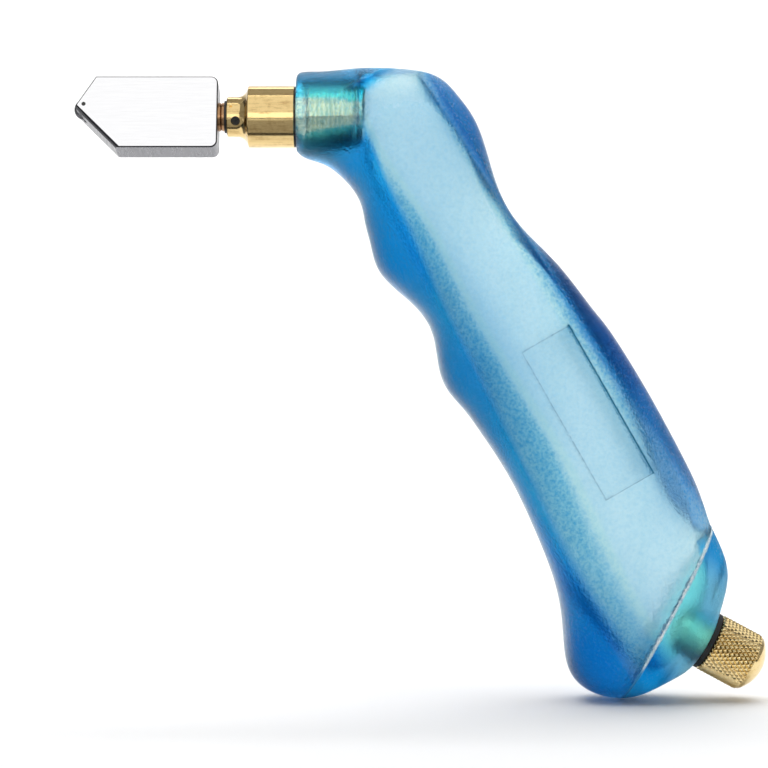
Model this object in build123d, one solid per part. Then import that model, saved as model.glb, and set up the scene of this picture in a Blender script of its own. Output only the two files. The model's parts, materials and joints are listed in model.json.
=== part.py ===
from build123d import *
from math import asin, atan2, copysign, cos, degrees, pi, radians, sin, sqrt
import os

# Oil-fed glass cutter with a pistol grip. Millimetres, +Z up.
# It is modelled with the ferrule's axis on X and the nose of the grip at X = 0, the head
# towards -X, and Y = 0 as the plane of symmetry of the grip. At the end every piece is
# moved so that the origin is the centre of the bottom of the whole cutter's box.

# ---- driving dimensions -------------------------------------------------------------
RUNNING = 0.05            # radial clearance of shafts and screws that move
SNUG = 0.01               # radial gap between pieces that are fixed to each other
FACE_GAP = 0.02           # gap between flat faces of pieces that move apart
EDGE_BREAK = 0.15         # chamfer on turned edges
SMALL = 0.1               # tolerance for picking edges

# head
HEAD_BACK_X = -13.7
HEAD_HEIGHT = 13.0
HEAD_THICK = 5.7
HEAD_CORNER_R = 1.2
HEAD_ROLL = -13.0         # degrees about X, as the head stands at rest
HEAD_OUTLINE = [
    (-38.4, 1.2), (-38.3, 0.55), (-31.3, -HEAD_HEIGHT / 2),
    (HEAD_BACK_X, -HEAD_HEIGHT / 2), (HEAD_BACK_X, HEAD_HEIGHT / 2), (-35.0, HEAD_HEIGHT / 2),
]
SLANT_BEVEL = 0.4

# wheel, in the head's own upright frame
WHEEL_X, WHEEL_Z = -37.0, 1.4
WHEEL_R = 1.97
WHEEL_W = 1.0
WHEEL_EDGE_W = 0.12
WHEEL_GROUND = 0.75       # width of the ground bevels, along the radius
SLOT_W = 1.3
SLOT_R = 2.3
AXLE_R = 0.35
AXLE_SUNK = 0.15          # how far each end lies below the cheek

# stem
STEM_TAIL_X = -18.7
STEM_SHANK_R = 2.0
STEM_NECK_R = 2.5
STEM_SHOULDER_X = -12.6
STEM_SHAFT_R = 2.15
STEM_END_X = -7.2
STEM_RING_GROOVE_X = -13.15   # decorative groove turned in the visible neck
STEM_RING_GROOVE_W = 0.3
STEM_RING_GROOVE_DEPTH = 0.22
STEM_BORE_R = 0.8
WICK_R = 0.7
WICK_TIP_X = -35.0
WASHER_X = (-12.6, -12.22)
WASHER_R = 2.8
PRESS = 0.6               # travel of the head
SWIVEL = (-12.0, 38.0)     # degrees from rest
GROOVE_END_GAP = 5.0      # degrees left at each end of the set screw's groove
GROOVE_SIDE_GAP = 0.1

# stem's seal
ORING_X = -8.7
ORING_WIRE_R = 0.36
ORING_GROOVE_W = 0.9

# ferrule
COLLAR_X = -12.15
COLLAR_R = 3.5
FLARE_X = (-10.1, -8.45)
FLARE_MID = (0.72, 0.42)  # how far along and how far out the middle of the flare is
BARREL_R = 5.4
SHANK_R = 5.0
SHANK_CHAMFER = 0.4
SHANK_END_X = 11.9
SHANK_HOLE_SPARE = 1.5    # the hole runs on past the shank into the reservoir
CHAMBER_X = -7.9
CHAMBER_R = 3.2
COUNTERBORE_R = 2.95
COUNTERBORE_END_X = -11.5
NOSE_GASKET_T = 0.3
NOSE_FACE_X = 0.0

# set screw in the collar, on the near side and a little below the axis
SCREW_X = -10.55
SCREW_R = 0.8
SCREW_ANGLE = 18.0        # degrees below -Y
SCREW_TIP_R = 1.7
SCREW_TOP_R = 3.05
SCREW_GROOVE_R = 1.55
SCREW_SLOT_W = 0.32
SCREW_SLOT_DEPTH = 0.45
SCREW_SLOT_TURN = 40

# small punched dimple beside it, above the axis
DIMPLE_X = -11.35
DIMPLE_ANGLE = 24.0       # degrees above -Y
DIMPLE_R = 0.25
DIMPLE_DEPTH = 0.3

# valve
PIN_DISC_X = (-7.15, -6.2)
PIN_DISC_R = 2.9
PIN_NOTCH = (2.2, 1.2, 2.4)   # oil passes through three notches in the disc
PIN_R = 0.9
PIN_END_X = 2.9
SEAT_X = (-0.6, 1.4)
SEAT_BORE_R = 1.4
SEAT_CHAMFER = 0.6
PLUG_X = (1.45, 3.2)
PLUG_R = 2.2
PLUG_CHAMFER = 0.4
SPRING_R = 2.2
SPRING_WIRE_R = 0.25
SPRING_TURNS = 5

# butt: cap axis, land for the cap, and the seam between shell and plug
CAP_DIR = Vector(0.8815, 0, -0.4722)
LAND = Vector(71.3, 0, -91.3)
SEAM_TO_LAND = 8.2
SEAM_T = 0.4
BUSH_R = 4.2
BUSH_L = 5.5
CAP_STUD_R = 3.0
CAP_STUD_L = 4.8
CAP_GASKET_T = 0.9
CAP_GASKET_R = 5.15
CAP_R = 5.25
CAP_KNURL_L = 8.1
CAP_DOME_L = 2.2
CAP_CHAMFER = 0.3

# raised blank panels on both flanks
PANEL_CENTRE = (49.9, -51.6)
PANEL_DIR = (0.497, -0.868)
PANEL_L = 28.9
PANEL_W = 9.3
PANEL_Y = 10.6

# Grip sections: front (finger side) point, back point, half thickness, squareness.
# Squareness 2 is an ellipse; larger is flatter on the flanks.
GRIP_SECTIONS = [
    ((0.0, -6.0), (0.0, 7.0), 6.4, 2.0),
    ((1.0, -6.9), (0.6, 7.7), 7.1, 2.0),
    ((3.0, -7.7), (3.0, 7.9), 7.5, 2.1),
    ((6.2, -9.1), (8.6, 8.25), 8.0, 2.3),
    ((9.2, -11.9), (16.2, 8.4), 8.5, 2.5),
    ((11.5, -16.3), (24.9, 6.7), 9.0, 2.8),
    ((12.6, -21.2), (30.6, 0.2), 9.4, 3.0),
    ((14.0, -26.2), (33.8, -8.4), 9.6, 3.1),
    ((18.1, -30.8), (37.3, -16.9), 9.7, 3.1),
    ((22.9, -36.0), (42.6, -22.9), 9.9, 3.1),
    ((24.7, -43.0), (48.2, -29.2), 10.1, 3.2),
    ((29.0, -50.9), (53.7, -36.3), 10.2, 3.3),
    ((35.4, -60.0), (59.8, -45.8), 10.3, 3.3),
    ((40.8, -70.3), (64.9, -54.9), 10.3, 3.3),
    ((44.8, -80.2), (68.6, -62.0), 10.3, 3.1),
    ((46.6, -89.5), (70.5, -66.4), 10.3, 2.9),
    ((47.4, -96.0), (71.4, -69.0), 10.3, 2.7),
    ((51.0, -100.2), (71.9, -70.4), 10.2, 2.6),
    ((56.9, -101.5), (72.4, -71.6), 9.9, 2.5),
    ((61.6, -100.3), (74.4, -76.0), 9.2, 2.3),
    ((65.8, -98.2), (75.1, -81.1), 7.9, 2.1),
    ((67.9, -96.9), (74.3, -84.3), 6.6, 2.0),
    ((69.0, -95.6), (73.6, -87.0), 5.1, 2.0),
]
SECTION_POINTS = 28

# Oil reservoir inside the shell: front point, back point, half thickness, squareness of the
# front part, and how far from front to back the section is thickest. The sections are
# egg-shaped: below the bend the front wall slopes in, and the back wall is steep all along.
RESERVOIR_SECTIONS = [
    ((10.6, 6.5), (21.3, 6.9), 4.8, 3.2, 0.45),
    ((12.1, -5.5), (27.2, -2.2), 5.9, 2.4, 0.47),
    ((22.4, -27.2), (39.0, -20.8), 6.9, 1.6, 0.54),
    ((37.8, -57.3), (56.4, -47.4), 7.7, 1.6, 0.56),
    ((59.7, -95.3), (71.2, -72.8), 7.5, 1.7, 0.52),
    ((60.6, -95.8), (72.1, -73.3), 7.5, 1.7, 0.52),
]
RESERVOIR_BACK_SQUARE = 3.6
# Pocket in the plug: half width, half thickness, distance below the seam. It leads from
# the reservoir's mouth to the bush.
POCKET_MOUTH = Vector(65.4, 0, -84.0)
POCKET_SQUARENESS = 2.5
POCKET_SECTIONS = [(12.1, 7.2, -0.5), (11.8, 7.0, 0.4), (9.6, 5.9, 2.6), (6.5, 4.7, 4.0)]

# ---- helpers ------------------------------------------------------------------------


def rounded_section(centre, half_span, half_t, squareness):
    """Closed oval face: half_span is a vector in the XZ plane, half_t is along Y."""
    points = []
    for k in range(SECTION_POINTS):
        a = 2 * pi * k / SECTION_POINTS
        u = copysign(abs(cos(a)) ** (2 / squareness), cos(a))
        v = copysign(abs(sin(a)) ** (2 / squareness), sin(a))
        points.append(centre + half_span * u + Vector(0, half_t * v, 0))
    return Face(Wire([Edge.make_spline(points, periodic=True)]))


def egg_section(front, back, half_t, front_square, widest):
    """Closed oval face whose front and back parts differ in length and squareness."""
    f = Vector(front[0], 0, front[1])
    b = Vector(back[0], 0, back[1])
    centre = f + (b - f) * widest
    points = []
    for k in range(SECTION_POINTS):
        a = 2 * pi * k / SECTION_POINTS
        half_span, squareness = (f - centre, front_square)
        if cos(a) < 0:
            half_span, squareness = (centre - b, RESERVOIR_BACK_SQUARE)
        u = copysign(abs(cos(a)) ** (2 / squareness), cos(a))
        v = copysign(abs(sin(a)) ** (2 / squareness), sin(a))
        points.append(centre + half_span * u + Vector(0, half_t * v, 0))
    return Face(Wire([Edge.make_spline(points, periodic=True)]))


def section_between(front, back, half_t, squareness):
    f = Vector(front[0], 0, front[1])
    b = Vector(back[0], 0, back[1])
    return rounded_section((f + b) * 0.5, (b - f) * 0.5, half_t, squareness)


def turned(profile, arc=360):
    """Revolve a closed (x, radius) profile about the ferrule's axis."""
    outline = Polyline(*[(x, 0, r) for x, r in profile], close=True)
    return revolve(make_face(outline), axis=Axis.X, revolution_arc=arc)


def rod(x0, x1, r):
    """Solid cylinder on the ferrule's axis from x0 to x1."""
    return Pos(x0, 0, 0) * Rot(0, 90, 0) * Cylinder(r, x1 - x0, align=(Align.CENTER, Align.CENTER, Align.MIN))


def ring(x0, x1, r_out, r_in):
    return turned([(x0, r_in), (x1, r_in), (x1, r_out), (x0, r_out)])


def cap_plane(inward):
    """Plane square to the cap axis, a distance inward of the land; z runs out of the butt."""
    return Plane(origin=LAND - CAP_DIR * inward, x_dir=(0, 1, 0), z_dir=CAP_DIR)


def cap_rod(inner, outer, r):
    """Cylinder on the cap axis between two distances outward of the land."""
    start = cap_plane(-inner)
    return start * Cylinder(r, outer - inner, align=(Align.CENTER, Align.CENTER, Align.MIN))


def rolled(shape):
    """Turn a piece from the head's upright frame to the way the head stands at rest."""
    return Rot(HEAD_ROLL, 0, 0) * shape


# ---- grip ---------------------------------------------------------------------------


def make_grip_outside():
    body = loft([section_between(*s) for s in GRIP_SECTIONS])
    tilt = degrees(atan2(PANEL_DIR[0], PANEL_DIR[1])) - 90
    slab = Box(PANEL_L, 2 * PANEL_Y, PANEL_W)
    panel = Pos(PANEL_CENTRE[0], 0, PANEL_CENTRE[1]) * Rot(0, tilt, 0) * slab
    return body + panel


def make_pocket():
    across = CAP_DIR.cross(Vector(0, 1, 0)).normalized()
    faces = []
    for half_w, half_t, depth in POCKET_SECTIONS:
        shift = min(max(depth, 0) / POCKET_SECTIONS[-1][2], 1)
        on_axis = LAND - CAP_DIR * (SEAM_TO_LAND - depth)
        side = POCKET_MOUTH + CAP_DIR * depth
        centre = side + (on_axis - side) * shift
        faces.append(rounded_section(centre, across * half_w, half_t, POCKET_SQUARENESS))
    return loft(faces)


def make_grip():
    outside = make_grip_outside()
    seam_out = Plane(origin=LAND - CAP_DIR * SEAM_TO_LAND, x_dir=(0, 1, 0), z_dir=CAP_DIR)
    seam_in = Plane(origin=seam_out.origin - CAP_DIR * SEAM_T, x_dir=(0, 1, 0), z_dir=CAP_DIR)
    reservoir = loft([egg_section(*s) for s in RESERVOIR_SECTIONS])
    upper = split(outside, bisect_by=seam_in, keep=Keep.BOTTOM)
    lower = split(outside, bisect_by=seam_out, keep=Keep.TOP)
    middle = split(split(outside, bisect_by=seam_in, keep=Keep.TOP), bisect_by=seam_out, keep=Keep.BOTTOM)
    shank_hole = rod(-1, SHANK_END_X + SHANK_HOLE_SPARE, SHANK_R + SNUG)
    shell = upper - reservoir - shank_hole
    cement = middle - reservoir
    plug = lower - make_pocket() - cap_rod(-BUSH_L - 2, 1, BUSH_R + SNUG)
    return shell, cement, plug


# ---- ferrule and what is in it ---------------------------------------------------------


def below_near_side(angle):
    """Outward direction square to the ferrule's axis, some degrees below -Y."""
    a = radians(angle)
    return Vector(0, -cos(a), -sin(a))


def radial_rod(x, direction, r_from, r_to, r):
    plane = Plane(origin=Vector(x, 0, 0) + direction * r_from, x_dir=(1, 0, 0), z_dir=direction)
    return plane * Cylinder(r, r_to - r_from, align=(Align.CENTER, Align.CENTER, Align.MIN))


def make_ferrule():
    lip_r = BARREL_R - EDGE_BREAK
    flare_mid_x = FLARE_X[0] + FLARE_MID[0] * (FLARE_X[1] - FLARE_X[0])
    flare_mid_r = COLLAR_R + FLARE_MID[1] * (lip_r - COLLAR_R)
    shoulder_x = NOSE_FACE_X - NOSE_GASKET_T
    start = (COLLAR_X, 0, COUNTERBORE_R)
    outline = Polyline(
        start,
        (COLLAR_X, 0, COLLAR_R - EDGE_BREAK),
        (COLLAR_X + EDGE_BREAK, 0, COLLAR_R),
        (FLARE_X[0], 0, COLLAR_R),
    )
    flare = ThreePointArc((FLARE_X[0], 0, COLLAR_R), (flare_mid_x, 0, flare_mid_r), (FLARE_X[1], 0, lip_r))
    rest = Polyline(
        (FLARE_X[1], 0, lip_r),
        (FLARE_X[1] + EDGE_BREAK, 0, BARREL_R),
        (shoulder_x - EDGE_BREAK, 0, BARREL_R),
        (shoulder_x, 0, lip_r),
        (shoulder_x, 0, SHANK_R),
        (SHANK_END_X - SHANK_CHAMFER, 0, SHANK_R),
        (SHANK_END_X, 0, SHANK_R - SHANK_CHAMFER),
        (SHANK_END_X, 0, CHAMBER_R),
        (CHAMBER_X, 0, CHAMBER_R),
        (CHAMBER_X, 0, STEM_SHAFT_R + RUNNING),
        (COUNTERBORE_END_X, 0, STEM_SHAFT_R + RUNNING),
        (COUNTERBORE_END_X, 0, COUNTERBORE_R),
        start,
    )
    body = revolve(make_face(Wire(outline.edges() + [flare] + rest.edges())), axis=Axis.X)
    hole = radial_rod(SCREW_X, below_near_side(SCREW_ANGLE), STEM_BORE_R, 2 * COLLAR_R, SCREW_R + SNUG)
    dimple = radial_rod(
        DIMPLE_X, below_near_side(-DIMPLE_ANGLE), COLLAR_R - DIMPLE_DEPTH, 2 * COLLAR_R, DIMPLE_R
    )
    return body - hole - dimple


def make_set_screw():
    out = below_near_side(SCREW_ANGLE)
    body = radial_rod(SCREW_X, out, SCREW_TIP_R, SCREW_TOP_R, SCREW_R)
    top = Plane(origin=Vector(SCREW_X, 0, 0) + out * SCREW_TOP_R, x_dir=(1, 0, 0), z_dir=out)
    slot = top * Rot(0, 0, SCREW_SLOT_TURN) * Box(2.5 * SCREW_R, SCREW_SLOT_W, 2 * SCREW_SLOT_DEPTH)
    return body - slot


def make_valve_pin():
    disc = turned([
        (PIN_DISC_X[0], 0), (PIN_END_X, 0), (PIN_END_X, PIN_R), (PIN_DISC_X[1], PIN_R),
        (PIN_DISC_X[1], PIN_DISC_R), (PIN_DISC_X[0], PIN_DISC_R),
    ])
    for k in range(3):
        disc -= Rot(120 * k, 0, 0) * Pos(PIN_DISC_X[0], 0, PIN_DISC_R) * Box(*PIN_NOTCH)
    return disc


def make_valve_spring():
    x0 = PIN_DISC_X[1] + SPRING_WIRE_R
    x1 = SEAT_X[0] - SPRING_WIRE_R
    helix = Helix(pitch=(x1 - x0) / SPRING_TURNS, height=x1 - x0, radius=SPRING_R)
    profile = Plane(origin=helix @ 0, z_dir=helix % 0) * Circle(SPRING_WIRE_R)
    coil = sweep(profile, path=helix)
    return Pos(x0, 0, 0) * Rot(0, 90, 0) * coil


def make_valve_seat():
    outer = CHAMBER_R - SNUG
    return turned([
        (SEAT_X[0], SEAT_BORE_R), (SEAT_X[1] - SEAT_CHAMFER, SEAT_BORE_R),
        (SEAT_X[1], SEAT_BORE_R + SEAT_CHAMFER), (SEAT_X[1], outer), (SEAT_X[0], outer),
    ])


def make_valve_plug():
    inner = PIN_R + SNUG
    return turned([
        (PLUG_X[0], inner), (PIN_END_X, inner), (PIN_END_X + SNUG, 0), (PLUG_X[1], 0),
        (PLUG_X[1], PLUG_R - PLUG_CHAMFER), (PLUG_X[1] - PLUG_CHAMFER, PLUG_R), (PLUG_X[0], PLUG_R),
    ])


# ---- stem and head --------------------------------------------------------------------


def make_stem():
    ring_half = STEM_RING_GROOVE_W / 2
    ring_r = STEM_NECK_R - STEM_RING_GROOVE_DEPTH
    half = ORING_GROOVE_W / 2
    groove_r = STEM_SHAFT_R - 2 * ORING_WIRE_R
    body = turned([
        (STEM_TAIL_X, STEM_BORE_R), (STEM_END_X, STEM_BORE_R), (STEM_END_X, STEM_SHAFT_R - EDGE_BREAK),
        (STEM_END_X - EDGE_BREAK, STEM_SHAFT_R), (ORING_X + half, STEM_SHAFT_R), (ORING_X + half, groove_r),
        (ORING_X - half, groove_r), (ORING_X - half, STEM_SHAFT_R), (STEM_SHOULDER_X, STEM_SHAFT_R),
        (STEM_SHOULDER_X, STEM_NECK_R), (STEM_RING_GROOVE_X + ring_half, STEM_NECK_R),
        (STEM_RING_GROOVE_X, ring_r), (STEM_RING_GROOVE_X - ring_half, STEM_NECK_R),
        (HEAD_BACK_X, STEM_NECK_R),
        (HEAD_BACK_X, STEM_SHANK_R), (STEM_TAIL_X, STEM_SHANK_R),
    ])
    # The set screw's groove is an arc: its two ends stop the swivel.
    side = degrees(atan2(SCREW_R, sqrt(SCREW_TIP_R ** 2 - SCREW_R ** 2))) + GROOVE_END_GAP
    arc = (SWIVEL[1] - SWIVEL[0]) + 2 * side
    x0 = SCREW_X - SCREW_R - PRESS - GROOVE_SIDE_GAP
    x1 = SCREW_X + SCREW_R + GROOVE_SIDE_GAP
    outer = 2 * STEM_SHAFT_R
    groove = turned([(x0, SCREW_GROOVE_R), (x1, SCREW_GROOVE_R), (x1, outer), (x0, outer)], arc)
    # revolve starts on +Z and turns towards -Y; the screw stands at 90 + SCREW_ANGLE from +Z
    start = 90 + SCREW_ANGLE - SWIVEL[1] - side
    return body - Rot(start, 0, 0) * groove


def make_head_body():
    outline = Polyline(*[(x, 0, z) for x, z in HEAD_OUTLINE], close=True)
    block = extrude(make_face(outline), HEAD_THICK / 2, dir=(0, 1, 0), both=True)
    back_corners = [e for e in block.edges().filter_by(Axis.Y) if e.center().X > HEAD_BACK_X - SMALL]
    block = fillet(back_corners, HEAD_CORNER_R)
    # flats ground along both edges of the lower slant
    slant = Vector(HEAD_OUTLINE[2][0] - HEAD_OUTLINE[1][0], 0, HEAD_OUTLINE[2][1] - HEAD_OUTLINE[1][1])
    slant_mid_x = (HEAD_OUTLINE[1][0] + HEAD_OUTLINE[2][0]) / 2
    long_edges = [
        e for e in block.edges()
        if abs(e.length - slant.length) < SMALL and abs(e.center().X - slant_mid_x) < SMALL
    ]
    block = chamfer(long_edges, SLANT_BEVEL)
    slot = Pos(WHEEL_X, 0, WHEEL_Z) * Rot(90, 0, 0) * Cylinder(SLOT_R, SLOT_W)
    slot += Pos(WHEEL_X - SLOT_R, 0, WHEEL_Z) * Box(2 * SLOT_R, SLOT_W, 2 * SLOT_R)
    bore = rod(WHEEL_X, HEAD_BACK_X, STEM_BORE_R)
    shank_hole = rod(STEM_TAIL_X - SNUG, 0, STEM_SHANK_R + SNUG)
    axle_hole = Pos(WHEEL_X, 0, WHEEL_Z) * Rot(90, 0, 0) * Cylinder(AXLE_R + SNUG, 2 * HEAD_THICK)
    return rolled(block - slot - bore - shank_hole - axle_hole)


def make_wheel():
    bore_r = AXLE_R + RUNNING
    flank_r = WHEEL_R - WHEEL_GROUND
    side = WHEEL_W / 2
    tip = WHEEL_EDGE_W / 2
    ground = [
        (bore_r, -side), (flank_r, -side), (WHEEL_R, -tip),
        (WHEEL_R, tip), (flank_r, side), (bore_r, side),
    ]
    outline = Polyline(*[(r, y, 0) for r, y in ground], close=True)
    wheel = revolve(make_face(outline), axis=Axis.Y)
    return rolled(Pos(WHEEL_X, 0, WHEEL_Z) * wheel)


def make_axle():
    return rolled(Pos(WHEEL_X, 0, WHEEL_Z) * Rot(90, 0, 0) * Cylinder(AXLE_R, HEAD_THICK - 2 * AXLE_SUNK))


# ---- butt cap ---------------------------------------------------------------------------


def make_cap_gasket():
    disc = cap_rod(FACE_GAP, CAP_GASKET_T - FACE_GAP, CAP_GASKET_R)
    return disc - cap_rod(-CAP_GASKET_T, 2 * CAP_GASKET_T, CAP_STUD_R + RUNNING)


def make_filler_cap():
    start = CAP_GASKET_T
    knurl_end = start + CAP_KNURL_L
    half = [
        (0, -CAP_STUD_L), (CAP_STUD_R - CAP_CHAMFER, -CAP_STUD_L), (CAP_STUD_R, -CAP_STUD_L + CAP_CHAMFER),
        (CAP_STUD_R, start), (CAP_R - CAP_CHAMFER, start), (CAP_R, start + CAP_CHAMFER), (CAP_R, knurl_end),
    ]
    side = Polyline(*[(r, 0, z) for r, z in half])
    # the end is part of a sphere whose centre is on the axis
    sphere_r = (CAP_R ** 2 + CAP_DOME_L ** 2) / (2 * CAP_DOME_L)
    half_angle = asin(CAP_R / sphere_r) / 2
    middle = (sphere_r * sin(half_angle), 0, knurl_end + CAP_DOME_L - sphere_r * (1 - cos(half_angle)))
    dome = ThreePointArc((CAP_R, 0, knurl_end), middle, (0, 0, knurl_end + CAP_DOME_L))
    axis = Line((0, 0, knurl_end + CAP_DOME_L), (0, 0, -CAP_STUD_L))
    cap = revolve(make_face(Wire(side.edges() + [dome, axis])), axis=Axis.Z)
    return cap_plane(0) * cap


# ---- build, place and write -----------------------------------------------------------

grip_shell, seam_cement, butt_plug = make_grip()
pieces = {
    "grip_shell": grip_shell,
    "seam_cement": seam_cement,
    "butt_plug": butt_plug,
    "filler_bush": cap_rod(-BUSH_L, 0, BUSH_R) - cap_rod(-2 * BUSH_L, BUSH_L, CAP_STUD_R + RUNNING),
    "cap_gasket": make_cap_gasket(),
    "filler_cap": make_filler_cap(),
    "ferrule": make_ferrule(),
    "nose_gasket": ring(-NOSE_GASKET_T, NOSE_FACE_X, BARREL_R - EDGE_BREAK, SHANK_R + SNUG),
    "set_screw": make_set_screw(),
    "valve_seat": make_valve_seat(),
    "valve_spring": make_valve_spring(),
    "valve_pin": make_valve_pin(),
    "valve_plug": make_valve_plug(),
    "head_stem": make_stem(),
    "head_washer": ring(WASHER_X[0], WASHER_X[1], WASHER_R, STEM_SHAFT_R + SNUG),
    "stem_oring": Pos(ORING_X, 0, 0) * Rot(0, 90, 0) * Torus(STEM_SHAFT_R - ORING_WIRE_R, ORING_WIRE_R),
    "head_body": make_head_body(),
    "oil_wick": rod(WICK_TIP_X, STEM_END_X, WICK_R),
    "wheel_axle": make_axle(),
    "cutting_wheel": make_wheel(),
}

whole = Compound(children=[Compound(p.wrapped) for p in pieces.values()]).bounding_box()
origin = Vector((whole.min.X + whole.max.X) / 2, 0, whole.min.Z)
print("origin in the modelling frame:", origin.X, origin.Y, origin.Z)

os.makedirs("parts", exist_ok=True)
for name, piece in pieces.items():
    export_step(Pos(-origin.X, 0, -origin.Z) * piece, f"parts/{name}.step")
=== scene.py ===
import json
import math
import random

import bmesh
import bpy
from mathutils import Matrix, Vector


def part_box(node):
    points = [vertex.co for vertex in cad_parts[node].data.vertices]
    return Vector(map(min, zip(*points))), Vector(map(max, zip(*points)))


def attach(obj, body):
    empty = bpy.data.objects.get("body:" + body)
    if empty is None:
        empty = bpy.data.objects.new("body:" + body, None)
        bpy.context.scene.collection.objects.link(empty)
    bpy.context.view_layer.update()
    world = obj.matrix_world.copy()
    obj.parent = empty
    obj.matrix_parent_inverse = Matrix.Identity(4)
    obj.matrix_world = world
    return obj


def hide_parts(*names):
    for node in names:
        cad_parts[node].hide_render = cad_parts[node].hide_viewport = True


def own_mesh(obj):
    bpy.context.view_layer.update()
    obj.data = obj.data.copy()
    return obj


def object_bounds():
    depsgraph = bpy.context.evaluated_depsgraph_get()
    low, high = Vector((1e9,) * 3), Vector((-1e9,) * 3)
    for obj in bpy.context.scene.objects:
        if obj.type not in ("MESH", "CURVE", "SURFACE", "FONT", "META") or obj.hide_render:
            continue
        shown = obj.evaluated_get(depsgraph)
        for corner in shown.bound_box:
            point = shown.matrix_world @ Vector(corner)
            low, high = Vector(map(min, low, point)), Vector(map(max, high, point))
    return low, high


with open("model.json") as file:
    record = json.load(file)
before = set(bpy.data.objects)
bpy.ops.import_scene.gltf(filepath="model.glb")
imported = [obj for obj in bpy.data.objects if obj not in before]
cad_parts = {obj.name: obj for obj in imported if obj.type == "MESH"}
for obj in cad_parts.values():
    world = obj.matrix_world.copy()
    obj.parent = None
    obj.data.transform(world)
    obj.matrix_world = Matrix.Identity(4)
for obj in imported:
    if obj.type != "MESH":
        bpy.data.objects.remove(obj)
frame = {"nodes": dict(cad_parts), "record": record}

CAD_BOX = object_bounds()
NODES = frame["nodes"]
JOINTS = {j["name"]: j for j in frame["record"]["behaviour"]["joints"]}
MM = 0.001


def middle(node):
    low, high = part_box(node)
    return (low + high) * 0.5


def size(node):
    low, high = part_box(node)
    return high - low


# The ferrule's axis runs along X; its barrel and shank are turned about it.
AXIS_Z = middle("ferrule").z
NOSE_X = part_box("nose_gasket")[1].x
SHANK_END_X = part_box("ferrule")[1].x

# The cap's axis leaves the grip's butt slantwise; LAND is where it meets the butt's face.
LAND = Vector(JOINTS["cap_turn"]["pos_m"])
CAP_DIR = Vector(JOINTS["cap_turn"]["axis"]).normalized()

# The head stands rolled about X; its cheeks face along the wheel's axis.
CHEEK = Vector(JOINTS["wheel_spin"]["axis"]).normalized()

# The reservoir is a tapered, slightly bowed pocket down the grip: the ends of its middle
# line, its half widths there, how far the line bows forward between them, and how far its
# mouth stays from the butt's face.
RES_TOP = Vector((LAND.x - 56.2 * MM, 0, LAND.z + 98.0 * MM))
RES_END = Vector((LAND.x - 4.7 * MM, 0, LAND.z + 7.3 * MM))
RES_HALF = (6.4 * MM, 12.0 * MM)
RES_BOW = 1.8 * MM
MOUTH_TO_LAND = 4.2 * MM

# The seam between the grip and its plug lies square to the cap's axis.
SEAM_TO_LAND = 8.2 * MM

# Raised blank panel on each flank: centre, direction of its long side, length and width.
PANEL_CENTRE = Vector({m["name"]: m for m in frame["record"]["mounts"]}["panel_near"]["pos_m"])
PANEL_DIR = Vector((0.497, 0, -0.868)).normalized()
PANEL_SIZE = (28.9 * MM, 9.3 * MM)


# ---- node helpers ---------------------------------------------------------------------


def rgba(colour):
    if isinstance(colour, (int, float)):
        return (colour, colour, colour, 1)
    return tuple(colour) if len(colour) == 4 else (*colour, 1)


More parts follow.
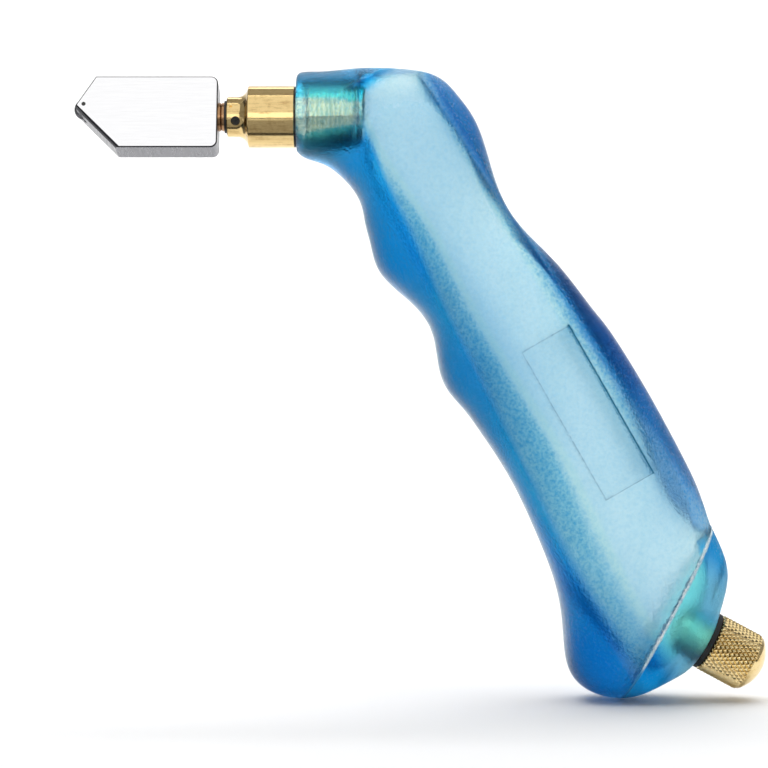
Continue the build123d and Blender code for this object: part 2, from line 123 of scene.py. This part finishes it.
class Shader:
    """One material and short calls that add nodes to it."""

    def __init__(self, name, **sockets):
        self.material = bpy.data.materials.new(name)
        self.material.use_nodes = True
        self.tree = self.material.node_tree
        self.bsdf = self.tree.nodes["Principled BSDF"]
        self.output = self.tree.nodes["Material Output"]
        for key, value in sockets.items():
            self.set(key.replace("_", " "), value)

    def fill(self, socket, value):
        if isinstance(value, bpy.types.NodeSocket):
            self.tree.links.new(value, socket)
        else:
            socket.default_value = value

    def set(self, socket, value):
        self.fill(self.bsdf.inputs[socket], value)

    def node(self, kind, inputs=None, **settings):
        node = self.tree.nodes.new(kind)
        for key, value in settings.items():
            setattr(node, key, value)
        for key, value in (inputs or {}).items():
            self.fill(node.inputs[key], value)
        return node

    def place(self, scale=(1, 1, 1), rotation=(0, 0, 0)):
        """Object coordinates in metres, turned and stretched."""
        coords = self.node("ShaderNodeTexCoord").outputs["Object"]
        inputs = {"Vector": coords, "Scale": scale, "Rotation": rotation}
        return self.node("ShaderNodeMapping", inputs).outputs["Vector"]

    def noise(self, scale, detail=4, vector=None, roughness=0.55):
        vector = vector or self.place()
        inputs = {"Vector": vector, "Scale": scale, "Detail": detail, "Roughness": roughness}
        return self.node("ShaderNodeTexNoise", inputs).outputs["Fac"]

    def ramp(self, value, *stops):
        """Colour ramp; stops are (position, colour) with a colour of 1, 3 or 4 numbers."""
        node = self.node("ShaderNodeValToRGB", {"Fac": value})
        while len(node.color_ramp.elements) < len(stops):
            node.color_ramp.elements.new(0.5)
        for element, (position, colour) in zip(node.color_ramp.elements, stops):
            element.position = position
            element.color = rgba(colour)
        return node.outputs["Color"]

    def mix(self, factor, a, b, blend="MIX"):
        node = self.node("ShaderNodeMix", data_type="RGBA", blend_type=blend)
        self.fill(node.inputs[0], factor)
        for socket, value in ((6, a), (7, b)):
            plain = not isinstance(value, bpy.types.NodeSocket)
            self.fill(node.inputs[socket], rgba(value) if plain else value)
        return node.outputs[2]

    def blend(self, factor, a, b):
        """Mix of two plain numbers or values."""
        node = self.node("ShaderNodeMix", data_type="FLOAT")
        for socket, value in ((0, factor), (2, a), (3, b)):
            self.fill(node.inputs[socket], value)
        return node.outputs[0]

    def math(self, operation, a, b=0.0, c=0.0):
        return self.node("ShaderNodeMath", {0: a, 1: b, 2: c}, operation=operation).outputs[0]

    def step(self, value, low, high):
        """Smooth step: 0 at low, 1 at high; low may be the larger of the two."""
        inputs = {"Value": value, "From Min": low, "From Max": high}
        node = self.node("ShaderNodeMapRange", inputs, interpolation_type="SMOOTHSTEP")
        return node.outputs[0]

    def along(self, direction, origin=Vector((0, 0, 0))):
        """Distance of the shaded point along a direction, from an origin."""
        coords = self.node("ShaderNodeTexCoord").outputs["Object"]
        vector_math = "ShaderNodeVectorMath"
        moved = self.node(vector_math, {0: coords, 1: origin}, operation="SUBTRACT").outputs[0]
        dot = self.node(vector_math, {0: moved, 1: direction}, operation="DOT_PRODUCT")
        return dot.outputs["Value"]

    def bump(self, height, strength, distance):
        inputs = {"Height": height, "Strength": strength, "Distance": distance}
        self.set("Normal", self.node("ShaderNodeBump", inputs).outputs["Normal"])


def reservoir_place(s):
    """Where a point of the grip lies, seen from the side, against the reservoir's outline.

    edge: distance outside the outline, in metres; flank: the same as if it had no mouth;
    share: 0 at the front edge to 1 at the back edge; down: 0 at the top to 1 at the mouth.
    """
    line = RES_END - RES_TOP
    along = line.normalized()
    across = Vector((-along.z, 0, along.x))
    down = s.math("DIVIDE", s.along(along, RES_TOP), line.length)
    bow = s.math("MULTIPLY", s.math("MULTIPLY", down, s.math("SUBTRACT", 1.0, down)), 4 * RES_BOW)
    side = s.math("ADD", s.along(across, RES_TOP), bow)
    half = s.math("MULTIPLY_ADD", down, RES_HALF[1] - RES_HALF[0], RES_HALF[0])
    beside = s.math("SUBTRACT", s.math("ABSOLUTE", side), half)
    above = s.math("MULTIPLY", down, -line.length)
    below = s.along(CAP_DIR, LAND - CAP_DIR * MOUTH_TO_LAND)
    flank = s.math("MAXIMUM", beside, above)
    share = s.math("MULTIPLY_ADD", s.math("DIVIDE", side, half), 0.5, 0.5)
    return s.math("MAXIMUM", flank, below), flank, share, down


def panel_shade_line(s):
    """Painted shade: 1 along the outline of the raised panels, strongest on the back edge."""
    across = Vector((-PANEL_DIR.z, 0, PANEL_DIR.x))
    p = s.along(PANEL_DIR, PANEL_CENTRE)
    q = s.along(across, PANEL_CENTRE)
    over_p = s.math("SUBTRACT", s.math("ABSOLUTE", p), PANEL_SIZE[0] / 2)
    over_q = s.math("SUBTRACT", s.math("ABSOLUTE", q), PANEL_SIZE[1] / 2)
    off = s.math("ABSOLUTE", s.math("MAXIMUM", over_p, over_q))
    back = s.math("MULTIPLY", s.step(q, 4.3 * MM, 4.5 * MM), s.step(off, 0.19 * MM, 0.10 * MM))
    # noise breaks up the painted shade line in places
    patchiness = s.step(s.noise(1300, 3), 0.35, 0.6)
    rest = s.math("MULTIPLY", s.math("MULTIPLY", patchiness, 0.55), s.step(off, 0.14 * MM, 0.05 * MM))
    return s.math("MAXIMUM", back, rest)


# ---- materials ------------------------------------------------------------------------


def acrylic(name, clear, density, bend):
    """Satin blue acrylic: deep blue where it is solid, pale over the frosted reservoir."""
    s = Shader(name, Transmission_Weight=clear, IOR=bend, Specular_Tint=(0.06, 0.55, 1.0, 1))
    edge, flank, share, down = reservoir_place(s)
    y = s.math("ABSOLUTE", s.along(Vector((0, 1, 0))))
    from_axis = s.math("ABSOLUTE", s.along(Vector((0, 0, 1)), Vector((0, 0, AXIS_Z))))
    # the skin over the ferrule's shank is painted pale, a painted reflection of the brass beneath
    near_nose = s.step(s.along(Vector((1, 0, 0))), SHANK_END_X + 1 * MM, SHANK_END_X - 1 * MM)
    over_shank = s.math("MULTIPLY", near_nose, s.step(from_axis, 5.6 * MM, 3.8 * MM))
    low = s.step(down, 0.62, 1.0)
    over_hollow = s.step(edge, s.math("MULTIPLY_ADD", low, 2.0 * MM, 1.0 * MM), -0.6 * MM)
    inner = s.math("MULTIPLY", s.step(edge, 1.5 * MM, 0.5 * MM), s.step(y, 8.6 * MM, 8.0 * MM))
    past_seam = s.step(s.along(CAP_DIR, LAND - CAP_DIR * SEAM_TO_LAND), -0.2 * MM, 0.2 * MM)
    over_hollow = s.math("MULTIPLY", over_hollow, s.math("SUBTRACT", 1.0, past_seam))
    over_plug = s.math("MULTIPLY", past_seam, s.step(flank, -2.0 * MM, -7.0 * MM))

    # the sloped front wall shows as a darker band with grain, with a painted highlight line where
    # it ends; painted highlight lines also run along the hollow's front and back edges
    reach = s.math("MULTIPLY_ADD", s.step(down, 0.06, 0.30), 0.17, s.math("MULTIPLY", low, -0.12))
    reach = s.math("MULTIPLY_ADD", s.step(down, 0.35, 0.75), 0.10, reach)
    past = s.math("SUBTRACT", share, reach)
    soft = s.math("MULTIPLY_ADD", low, 0.16, 0.03)
    band = s.step(s.math("DIVIDE", past, soft), 0.6, -1.0)
    band = s.math("MULTIPLY", s.math("MULTIPLY", band, over_hollow), s.step(down, 0.05, 0.22))
    lit_band = s.math("MULTIPLY", s.step(past, -0.01, 0.03), s.step(past, 0.11, 0.05))
    lit_front = s.math("MULTIPLY", s.step(share, -0.05, 0.0), s.step(share, 0.10, 0.03))
    lit_back = s.math("MULTIPLY", s.step(share, 0.86, 0.92), s.step(share, 1.0, 0.96))
    lit = s.math("MAXIMUM", s.math("MAXIMUM", lit_band, lit_back), lit_front)
    near_back = s.math("MULTIPLY", s.step(share, 0.85, 0.97), s.step(share, 1.25, 1.0))
    # where the grain shows; its pale specks are partly painted glints
    grain_and_glints = s.math("MAXIMUM", s.math("MAXIMUM", band, near_back), over_shank)
    grain_and_glints = s.math("MULTIPLY_ADD", grain_and_glints, 0.85, s.math("MULTIPLY_ADD", over_hollow, 0.16, 0.06))

    tilt = math.atan2(RES_END.x - RES_TOP.x, RES_TOP.z - RES_END.z)
    streaks = s.noise(1.0, 3, s.place((900, 900, 170), (0, -tilt, 0)))
    sweep = s.noise(1.0, 2, s.place((330, 330, 40), (0, -tilt, 0)))
    fine = s.noise(1900, 3, roughness=0.6)
    light = s.mix(s.noise(260, 5), (0.01, 0.56, 0.92), (0.03, 0.70, 1.0))
    deep = s.mix(s.noise(260, 5), (0.0, 0.36, 0.78), (0.0, 0.46, 0.86))
    deeper = s.math("MAXIMUM", s.step(down, 0.60, 0.95), s.step(share, 0.98, 1.10))
    solid = s.mix(deeper, light, deep)
    solid = s.mix(s.step(share, 0.97, 1.08), solid, (0.0, 0.17, 0.52))
    plug_rim = s.mix(s.noise(260, 5), (0.0, 0.34, 0.66), (0.02, 0.46, 0.76))
    solid = s.mix(past_seam, solid, plug_rim)
    plug_middle = s.mix(sweep, (0.40, 0.88, 0.92), (0.58, 0.95, 0.83))
    solid = s.mix(over_plug, solid, plug_middle)
    frosted = s.mix(sweep, (0.78, 0.90, 0.875), (0.90, 0.945, 0.925))
    frosted = s.mix(band, frosted, (0.62, 0.84, 0.81))
    # painted highlight lines along the hollow
    frosted = s.mix(s.math("MULTIPLY", lit, 0.7), frosted, (0.90, 0.98, 0.86))
    colour = s.mix(s.math("MAXIMUM", over_hollow, over_shank), solid, frosted)
    # over the shank the grain is stretched into thread lines, a painted reflection of the thread
    threads = s.noise(1.0, 3, s.place((2300, 2300, 650)), 0.6)
    fine = s.blend(over_shank, fine, threads)
    dark_grain = s.math("MULTIPLY", s.step(fine, 0.42, 0.66), s.math("MULTIPLY", grain_and_glints, 0.8))
    colour = s.mix(dark_grain, colour, (0.12, 0.50, 0.70))
    # pale specks: real grain, partly painted as glints
    pale_grain_glints = s.math("MULTIPLY", s.step(fine, 0.50, 0.30), s.math("MULTIPLY", grain_and_glints, 0.8))
    colour = s.mix(pale_grain_glints, colour, (0.95, 1.0, 0.96))
    # the panels' outline is painted as a dark line, a painted shade
    s.set("Base Color", s.mix(panel_shade_line(s), colour, (0.01, 0.10, 0.16)))

    satin = s.blend(s.step(s.noise(900), 0.3, 0.7), 0.20, 0.27)
    satin = s.blend(over_shank, satin, 0.10)
    satin = s.blend(past_seam, satin, 0.42)
    carved = s.blend(s.step(streaks, 0.3, 0.7), 0.3, 0.5)
    s.set("Roughness", s.blend(inner, satin, carved))
    s.set("IOR", s.blend(inner, bend, 1.08))
    s.bump(s.math("ADD", fine, s.math("MULTIPLY", streaks, inner)), 0.8, 0.00025)
    absorbed = {"Color": (0.0, 0.375, 0.667, 1), "Density": density}
    volume = s.node("ShaderNodeVolumeAbsorption", absorbed)
    s.tree.links.new(volume.outputs[0], s.output.inputs["Volume"])
    return s.material


def cement():
    """Solvent cement in the seam: cloudy and bubbly."""
    s = Shader("clear_cement", IOR=1.45)
    edge = reservoir_place(s)[0]
    cloud = s.noise(1400, 5)
    milky = s.ramp(cloud, (0.30, (0.30, 0.58, 0.74)), (0.5, (0.66, 0.85, 0.92)),
                   (0.66, (0.92, 0.98, 1.0)))
    clear = s.mix(cloud, (0.02, 0.22, 0.50), (0.05, 0.34, 0.62))
    s.set("Base Color", s.mix(s.step(edge, 0.8 * MM, -0.8 * MM), clear, milky))
    s.set("Roughness", s.blend(s.step(s.noise(1800), 0.3, 0.7), 0.3, 0.55))
    s.bump(s.noise(1300, 5), 0.4, 0.0001)
    return s.material


def turned_metal(name, colour, stain, rough, ring_axis=Vector((1, 0, 0)), enclosed=None):
    """Metal off the lathe: fine rings round its axis, streaks along it and fine staining.

    Where the plastic of the grip encloses it, it can be untarnished metal painted paler and
    brighter, a painted light, with painted shade on the shank away from its axis.
    """
    s = Shader(name, Metallic=1.0)
    along = s.along(ring_axis)
    stretched = s.node("ShaderNodeCombineXYZ", {0: s.math("MULTIPLY", along, 9000)})
    rings = s.noise(1.0, 3, stretched.outputs[0])
    turn = math.atan2(-ring_axis.z, ring_axis.x)
    streaks = s.noise(1.0, 4, s.place((120, 1300, 1300), (0, -turn, 0)), 0.65)
    specks = s.noise(900, 6, roughness=0.75)
    patchiness = s.math("ADD", s.math("MULTIPLY", streaks, 0.6), s.math("MULTIPLY", specks, 0.4))
    fresh = s.mix(rings, colour, [0.88 * c for c in colour])
    stained = s.mix(s.math("MULTIPLY", s.step(patchiness, 0.46, 0.68), 0.75), fresh, stain)
    if enclosed:
        # painted light: inside the nose the metal takes a paler, brighter colour
        inside = s.step(s.along(Vector((1, 0, 0))), NOSE_X, NOSE_X + 0.4 * MM)
        clean_with_painted_light = s.mix(patchiness, enclosed, [0.7 * c for c in enclosed])
        off_axis = s.math("ABSOLUTE", s.along(Vector((0, 0, 1)), Vector((0, 0, AXIS_Z))))
        on_shank = s.step(s.along(Vector((1, 0, 0))), SHANK_END_X + 2 * MM, SHANK_END_X + 1 * MM)
        # painted shade on the shank's top and bottom, away from its axis
        shaded = s.math("MULTIPLY", on_shank, s.step(off_axis, 2.8 * MM, 4.8 * MM))
        clean_with_painted_light = s.mix(shaded, clean_with_painted_light, [0.22 * c for c in enclosed])
        stained = s.mix(inside, stained, clean_with_painted_light)
    s.set("Base Color", stained)
    s.set("Roughness", s.math("ADD", s.math("MULTIPLY", patchiness, 0.25), rough - 0.12))
    s.bump(s.math("ADD", rings, patchiness), 0.12, 0.00003)
    return s.material


def steel(name, colour, rough=0.05, grain=(200, 4000, 4000), depth=0.05, edge=(1, 1, 1, 1)):
    """Ground or polished steel with fine lines."""
    s = Shader(name, Metallic=1.0, Specular_Tint=edge)
    lines = s.noise(1.0, 4, s.place(grain))
    s.set("Base Color", s.mix(lines, colour, [0.9 * c for c in colour]))
    s.set("Roughness", s.blend(s.step(lines, 0.3, 0.7), rough, rough + 0.08))
    s.bump(lines, depth, 0.00002)
    return s.material


def plain(name, colour, rough=0.5):
    s = Shader(name)
    s.set("Base Color", s.mix(s.noise(600), colour, [0.7 * c for c in colour]))
    s.set("Roughness", s.blend(s.step(s.noise(1500), 0.3, 0.7), rough, rough + 0.15))
    s.bump(s.noise(2500), 0.1, 0.0002)
    return s.material


MATERIALS = {
    "blue_acrylic": acrylic("blue_acrylic", 1.0, 120.0, 1.40),
    "plug_acrylic": acrylic("plug_acrylic", 0.95, 90.0, 1.28),
    "clear_cement": cement(),
    # the brass inside the nose is painted paler and brighter, a painted light
    "brass": turned_metal("brass", (0.82, 0.61, 0.28), (0.36, 0.20, 0.06), 0.13,
                          enclosed=(1.0, 0.94, 0.70)),
    "cap_brass": turned_metal("cap_brass", (0.94, 0.74, 0.38), (0.66, 0.43, 0.14), 0.14,
                              CAP_DIR),
    "bronze": turned_metal("bronze", (0.42, 0.24, 0.12), (0.20, 0.11, 0.06), 0.22),
    "polished_steel": steel("polished_steel", (0.95, 0.95, 0.96)),
    # ground and edge steel are painted dark: painted shade on the head's faces and rims
    "ground_steel_painted_shade": steel("ground_steel_painted_shade", (0.20, 0.20, 0.215), 0.25, (4000, 150, 150), 0.3),
    "edge_steel_painted_shade": steel("edge_steel_painted_shade", (0.04, 0.04, 0.045), 0.45,
                        edge=(0.15, 0.15, 0.15, 1)),
    "dark_steel": steel("dark_steel", (0.07, 0.068, 0.065), 0.2),
    "spring_steel": steel("spring_steel", (0.6, 0.6, 0.62), 0.25),
    "carbide": steel("carbide", (0.25, 0.25, 0.27), 0.2),
    "black_rubber": plain("black_rubber", (0.012, 0.012, 0.012)),
    "wick_cotton": plain("wick_cotton", (0.8, 0.76, 0.66), 0.9),
}


def dress_cad_nodes():
    for part in frame["record"]["subparts"]:
        mesh = NODES[part["node"]].data
        mesh.materials.clear()
        mesh.materials.append(MATERIALS[part["material_slot"]])
    NODES["butt_plug"].data.materials[0] = MATERIALS["plug_acrylic"]


# ---- pieces ---------------------------------------------------------------------------


def add_piece(name, mesh, body, slot, stands_for=None):
    piece = bpy.data.objects.new(name, mesh)
    bpy.context.scene.collection.objects.link(piece)
    if not mesh.materials:
        mesh.materials.append(MATERIALS[slot])
    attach(piece, body)
    if stands_for:
        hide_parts(stands_for)
    return piece


def frame_about(axis):
    """Two unit vectors square to an axis."""
    side = Vector((0, 1, 0))
    return side, axis.cross(side).normalized()


def make_head_block():
    """The steel head with its ground edges eased; cheeks polished, edges ground and painted
    darker, a painted shade, with the eased rims near black, a painted shade outline.
    """
    mesh = NODES["head_body"].data.copy()
    mesh.name = "head_block"
    mesh.materials.clear()
    for name in ("polished_steel", "ground_steel_painted_shade", "edge_steel_painted_shade"):
        mesh.materials.append(MATERIALS[name])
    build = bmesh.new()
    build.from_mesh(mesh)
    bmesh.ops.remove_doubles(build, verts=build.verts, dist=1e-7)
    bmesh.ops.dissolve_limit(build, angle_limit=math.radians(0.5), verts=build.verts,
                             edges=build.edges)
    for face in build.faces:
        # cheeks polished; every other face ground steel painted darker, a painted shade
        face.material_index = 0 if abs(face.normal.dot(CHEEK)) > 0.995 else 1
    axle = middle("wheel_axle")

    def on_rim(edge):
        """A sharp edge between a cheek and a ground face, away from the axle's hole."""
        kinds = sorted(face.material_index for face in edge.link_faces)
        if kinds != [0, 1] or edge.calc_face_angle() < math.radians(35):
            return False
        off = (edge.verts[0].co + edge.verts[1].co) * 0.5 - axle
        return (off - CHEEK * off.dot(CHEEK)).length > 0.8 * MM

    # the eased rims take the near-black edge steel, a painted shade outline
    bmesh.ops.bevel(build, geom=[e for e in build.edges if on_rim(e)], offset=0.2 * MM,
                    segments=3, profile=0.5, affect="EDGES", clamp_overlap=False, material=2)
    for face in build.faces:
        face.smooth = face.material_index == 2
    build.to_mesh(mesh)
    build.free()
    add_piece("head_block", mesh, "head", "polished_steel", "head_body")


def make_knurled_cap():
    """Filler cap with a real diamond knurl, a chamfered foot and a smooth domed end."""
    outer = size("filler_cap").y / 2
    gasket_t = 0.9 * MM
    knurl_l = 8.1 * MM
    dome_l = 2.2 * MM
    stud_r = 3.0 * MM
    stud_l = 4.8 * MM
    round_count = 40  # diamonds round the cap
    per = 8  # columns to a diamond
    flat_top = 0.85  # share of a diamond's height that is left below its worn tip
    depth = 0.27 * MM
    pitch = 1.35 * MM
    side, up = frame_about(CAP_DIR)
    columns = round_count * per
    step = pitch / per
    build = bmesh.new()

    def vert(i, r, z):
        a = 2 * math.pi * i / columns
        return build.verts.new(LAND + CAP_DIR * z + (side * math.cos(a) + up * math.sin(a)) * r)

    def ring(r, z):
        return [vert(i, r, z) for i in range(columns)]

    def knurl_ring(j, z):
        out = []
        for i in range(columns):
            u = (i + j) % per / per
            v = (i - j) % per / per
            peak = min(1 - abs(2 * u - 1), 1 - abs(2 * v - 1))
            out.append(vert(i, outer - depth * (1 - min(peak, flat_top) / flat_top), z))
        return out

    def skin(a, b, smooth, lattice=None):
        for i in range(columns):
            k = (i + 1) % columns
            p, q, r, t = a[i], a[k], b[k], b[i]
            if lattice is None:
                build.faces.new((p, q, r, t)).smooth = smooth
            elif (i + lattice + 1) % per == 0:
                build.faces.new((p, q, t))
                build.faces.new((q, r, t))
            else:
                build.faces.new((p, q, r))
                build.faces.new((p, r, t))

    start = gasket_t
    rows = []
    count = int((knurl_l - 0.7 * MM) / step)
    first = start + 0.4 * MM
    for j in range(count + 1):
        rows.append(knurl_ring(j, first + j * step))
    root = outer - depth
    inside = ring(stud_r, start)
    lower = ring(root - 0.25 * MM, start)
    foot_ring = ring(root - 0.02 * MM, start + 0.22 * MM)
    skin(inside, lower, False)
    skin(lower, foot_ring, False)
    skin(foot_ring, rows[0], False)
    for j, (a, b) in enumerate(zip(rows, rows[1:])):
        skin(a, b, False, j)
    knurl_end = start + knurl_l
    last = first + count * step
    collar = ring(root - 0.03 * MM, min(last + 0.12 * MM, knurl_end - 0.12 * MM))
    skin(rows[-1], collar, False)
    sphere_r = (root ** 2 + dome_l ** 2) / (2 * dome_l)
    previous = ring(root - 0.03 * MM, knurl_end)
    skin(collar, previous, True)
    steps = 16
    half_angle = math.asin((root - 0.03 * MM) / sphere_r)
    for k in range(1, steps):
        a = half_angle * (1 - k / steps)
        row = ring(sphere_r * math.sin(a), knurl_end + dome_l - sphere_r * (1 - math.cos(a)))
        skin(previous, row, True)
        previous = row
    tip = build.verts.new(LAND + CAP_DIR * (knurl_end + dome_l))
    for i in range(columns):
        build.faces.new((previous[i], previous[(i + 1) % columns], tip)).smooth = True

    # stud with a V thread that fades out at both ends
    thread_pitch = 1.0 * MM
    thread_depth = 0.28 * MM
    levels = int((stud_l + gasket_t) / (thread_pitch / 8))
    previous = inside
    for j in range(1, levels + 1):
        z = start - j * (stud_l + gasket_t) / levels
        row = []
        fade_in = max(0, (-z - 0.4 * MM) / (0.8 * MM))
        fade_out = max(0, (z + stud_l) / (0.5 * MM)) + 0.6
        fade = min(1, fade_in, fade_out)
        for i in range(columns):
            turn = (z / thread_pitch + i / columns) % 1
            row.append(vert(i, stud_r - thread_depth * fade * abs(2 * turn - 1), z))
        skin(row, previous, True)
        previous = row
    tip = build.verts.new(LAND - CAP_DIR * stud_l)
    for i in range(columns):
        build.faces.new((previous[(i + 1) % columns], previous[i], tip)).smooth = False
    bmesh.ops.recalc_face_normals(build, faces=build.faces)
    mesh = bpy.data.meshes.new("knurled_cap")
    build.to_mesh(mesh)
    build.free()
    add_piece("knurled_cap", mesh, "cap", "cap_brass", "filler_cap")


def make_shank_thread():
    """Rolled thread round the ferrule's shank, seen through the plastic of the nose."""
    shank_r = 5.0 * MM
    pitch = 0.8 * MM
    height = 0.3 * MM
    first = NOSE_X + 1.4 * MM
    last = SHANK_END_X - 0.9 * MM
    per_turn = 64
    count = int((last - first) / pitch * per_turn)
    build = bmesh.new()
    rows = []
    for i in range(count + 1):
        a = 2 * math.pi * i / per_turn
        x = first + pitch * i / per_turn
        fade = min(1, i / per_turn, (count - i) / per_turn)
        row = []
        for dx, rise in ((-0.36, -0.03), (-0.08, 1.0), (0.08, 1.0), (0.36, -0.03)):
            r = shank_r + height * rise * max(fade, 0.02)
            row.append(build.verts.new((x + dx * MM, r * math.cos(a), AXIS_Z + r * math.sin(a))))
        rows.append(row)
    for a, b in zip(rows, rows[1:]):
        for k in range(3):
            build.faces.new((a[k], a[k + 1], b[k + 1], b[k]))
        build.faces.new((a[3], a[0], b[0], b[3]))
    build.faces.new(rows[0])
    build.faces.new(rows[-1])
    bmesh.ops.recalc_face_normals(build, faces=build.faces)
    mesh = bpy.data.meshes.new("shank_thread")
    build.to_mesh(mesh)
    build.free()
    add_piece("shank_thread", mesh, "grip", "brass")


def make_valve_spring():
    """The valve's spring, shaded smooth; in the real cutter it is pressed together as the head is
    pushed in.
    """
    mesh = NODES["valve_spring"].data.copy()
    mesh.name = "return_spring"
    mesh.shade_smooth()
    spring = add_piece("return_spring", mesh, "grip", "spring_steel", "valve_spring")
    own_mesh(spring)


def make_seam_bead():
    """Bubbly bead of cement squeezed out along the seam, over the reservoir's mouth."""
    random.seed(4)
    shell = NODES["seam_cement"].data
    loop = seam_outline(shell)
    build = bmesh.new()
    rings = []
    around = 6
    swell = 0.5
    for point, outward, keep in loop:
        swell = 0.65 * swell + 0.35 * random.uniform(0.0, 1.0)
        r = (0.06 + keep * (0.10 + 0.24 * swell)) * MM
        bulge = 0.8 + 0.7 * swell
        ring = []
        for k in range(around):
            a = 2 * math.pi * k / around
            offset = CAP_DIR * math.cos(a) * r * bulge + outward * math.sin(a) * r * 0.7
            ring.append(build.verts.new(point - outward * 0.03 * MM + offset))
        rings.append(ring)
    for a, b in zip(rings, rings[1:] + rings[:1]):
        for k in range(around):
            n = (k + 1) % around
            build.faces.new((a[k], a[n], b[n], b[k])).smooth = True
    bmesh.ops.recalc_face_normals(build, faces=build.faces)
    mesh = bpy.data.meshes.new("seam_bead")
    build.to_mesh(mesh)
    build.free()
    add_piece("seam_bead", mesh, "grip", "clear_cement")


def seam_outline(shell):
    """Closed run round the seam on the grip's skin: point, way out, 1 where the bead is full."""
    low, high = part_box("seam_cement")
    centre = (low + high) * 0.5
    side, up = frame_about(CAP_DIR)
    rim = {}
    steps = 220  # directions the rim is sorted into
    samples = 600
    for v in shell.vertices:
        p = v.co - centre
        a = math.atan2(p.dot(up), p.dot(side))
        flat = p - CAP_DIR * p.dot(CAP_DIR)
        key = int((a + math.pi) / (2 * math.pi) * steps) % steps
        if key not in rim or flat.length > rim[key].length:
            rim[key] = flat
    keys = sorted(rim)
    points = []
    for i in range(samples):
        k = i / samples * steps
        after = next((q for q in keys if q >= k), keys[0] + steps)
        before = next((q for q in reversed(keys) if q <= k), keys[-1] - steps)
        t = 0 if after == before else (k - before) / (after - before)
        a, b = rim[before % steps], rim[after % steps]
        points.append(a.lerp(b, t))
    out = []
    mouth = CAP_DIR.cross(Vector((0, 1, 0))).normalized()
    for i, p in enumerate(points):
        tangent = (points[(i + 1) % samples] - points[i - 1]).normalized()
        outward = tangent.cross(CAP_DIR).normalized()
        if outward.dot(p) < 0:
            outward = -outward
        place = centre + p
        off = abs((place - RES_END).dot(mouth))
        keep = 1.0 if off < RES_HALF[1] - 0.3 * MM else 0.0
        out.append((place, outward, keep))
    return out


# ---- stage, light and camera ----------------------------------------------------------


def make_stage():
    mesh = bpy.data.meshes.new("studio_floor")
    build = bmesh.new()
    bend, reach, half, height = 0.5, 1.5, 3.0, 3.0
    profile = [(-reach, 0.0)]
    for k in range(13):
        a = math.radians(7.5 * k)
        profile.append((reach - bend + bend * math.sin(a), bend - bend * math.cos(a)))
    profile.append((reach, height))
    rows = [[build.verts.new((x, y, z)) for x in (-half, half)] for y, z in profile]
    for a, b in zip(rows, rows[1:]):
        build.faces.new((a[0], a[1], b[1], b[0]))
    build.to_mesh(mesh)
    build.free()
    mesh.shade_smooth()
    floor = bpy.data.objects.new("studio_floor", mesh)
    floor.location.z = CAD_BOX[0][2] - 0.0004
    bpy.context.scene.collection.objects.link(floor)
    s = Shader("pale_floor")
    s.set("Base Color", s.mix(s.noise(3), (0.93, 0.93, 0.93), (0.90, 0.90, 0.90)))
    s.set("Roughness", s.blend(s.noise(40), 0.75, 0.85))
    mesh.materials.append(s.material)


def area_light(name, place, aim, extent, power):
    light = bpy.data.lights.new(name, "AREA")
    light.shape = "RECTANGLE"
    light.size, light.size_y = extent
    light.energy = power
    lamp = bpy.data.objects.new(name, light)
    lamp.location = place
    lamp.rotation_euler = (Vector(aim) - Vector(place)).to_track_quat("-Z", "Y").to_euler()
    bpy.context.scene.collection.objects.link(lamp)


def card(name, elevation, height, tone, distance=0.45, width=0.9, through=False):
    """Long card before the cutter, seen only in reflections, or only through the plastic."""
    centre = middle("ferrule")
    a = math.radians(elevation)
    out = Vector((0, -math.cos(a), math.sin(a)))
    up = Vector((0, math.sin(a), math.cos(a)))
    half = distance * math.tan(math.radians(height / 2))
    mesh = bpy.data.meshes.new(name)
    corners = [centre + out * distance + up * half * v + Vector((width / 2 * u, 0, 0))
               for u, v in ((-1, -1), (1, -1), (1, 1), (-1, 1))]
    mesh.from_pydata(corners, [], [(0, 1, 2, 3)])
    s = Shader(name, Base_Color=(0, 0, 0, 1), Roughness=1.0, Emission_Strength=1.0)
    s.set("Emission Color", s.mix(s.noise(4), (tone,) * 3, (0.92 * tone,) * 3))
    mesh.materials.append(s.material)
    obj = bpy.data.objects.new(name, mesh)
    bpy.context.scene.collection.objects.link(obj)
    for ray in ("camera", "diffuse", "glossy", "transmission", "volume_scatter", "shadow"):
        setattr(obj, "visible_" + ray, ray == ("transmission" if through else "glossy"))


def make_light():
    world = bpy.data.worlds.new("studio")
    bpy.context.scene.world = world
    world.use_nodes = True
    background = world.node_tree.nodes["Background"]
    background.inputs["Color"].default_value = (1, 1, 1, 1)
    background.inputs["Strength"].default_value = 0.30
    area_light("overhead", (0.0, 0.3, 1.2), (0, 0.3, 0), (1.5, 1.5), 17)
    area_light("backdrop_light", (0.0, 0.3, 0.9), (0, 1.5, 0.2), (1.4, 0.4), 8)
    card("card_top", 102, 44, 0.35)
    card("card_sky", 44, 68, 1.12)
    card("card_band", 0, 20, 1.9)
    card("card_line", -14, 8, 0.03)
    card("card_floor", -42, 48, 0.40, distance=0.1)
    card("card_low", -72, 12, 0.04, distance=0.1)
    card("card_glow", 35, 80, 2.1, through=True)
    bpy.context.scene.view_settings.view_transform = "Standard"


def make_camera():
    view_width = 0.1344
    lens = bpy.data.cameras.new("camera")
    lens.lens = 100
    lens.sensor_width = 36
    distance = view_width * lens.lens / lens.sensor_width
    camera = bpy.data.objects.new("camera", lens)
    look_at = Vector((-0.0063, 0, 0.0548))
    camera.location = look_at - Vector((0, distance, 0))
    camera.rotation_euler = (math.radians(90), 0, 0)
    bpy.context.scene.collection.objects.link(camera)
    bpy.context.scene.camera = camera


dress_cad_nodes()
make_head_block()
make_knurled_cap()
make_shank_thread()
make_valve_spring()
make_seam_bead()
make_stage()
make_light()
make_camera()
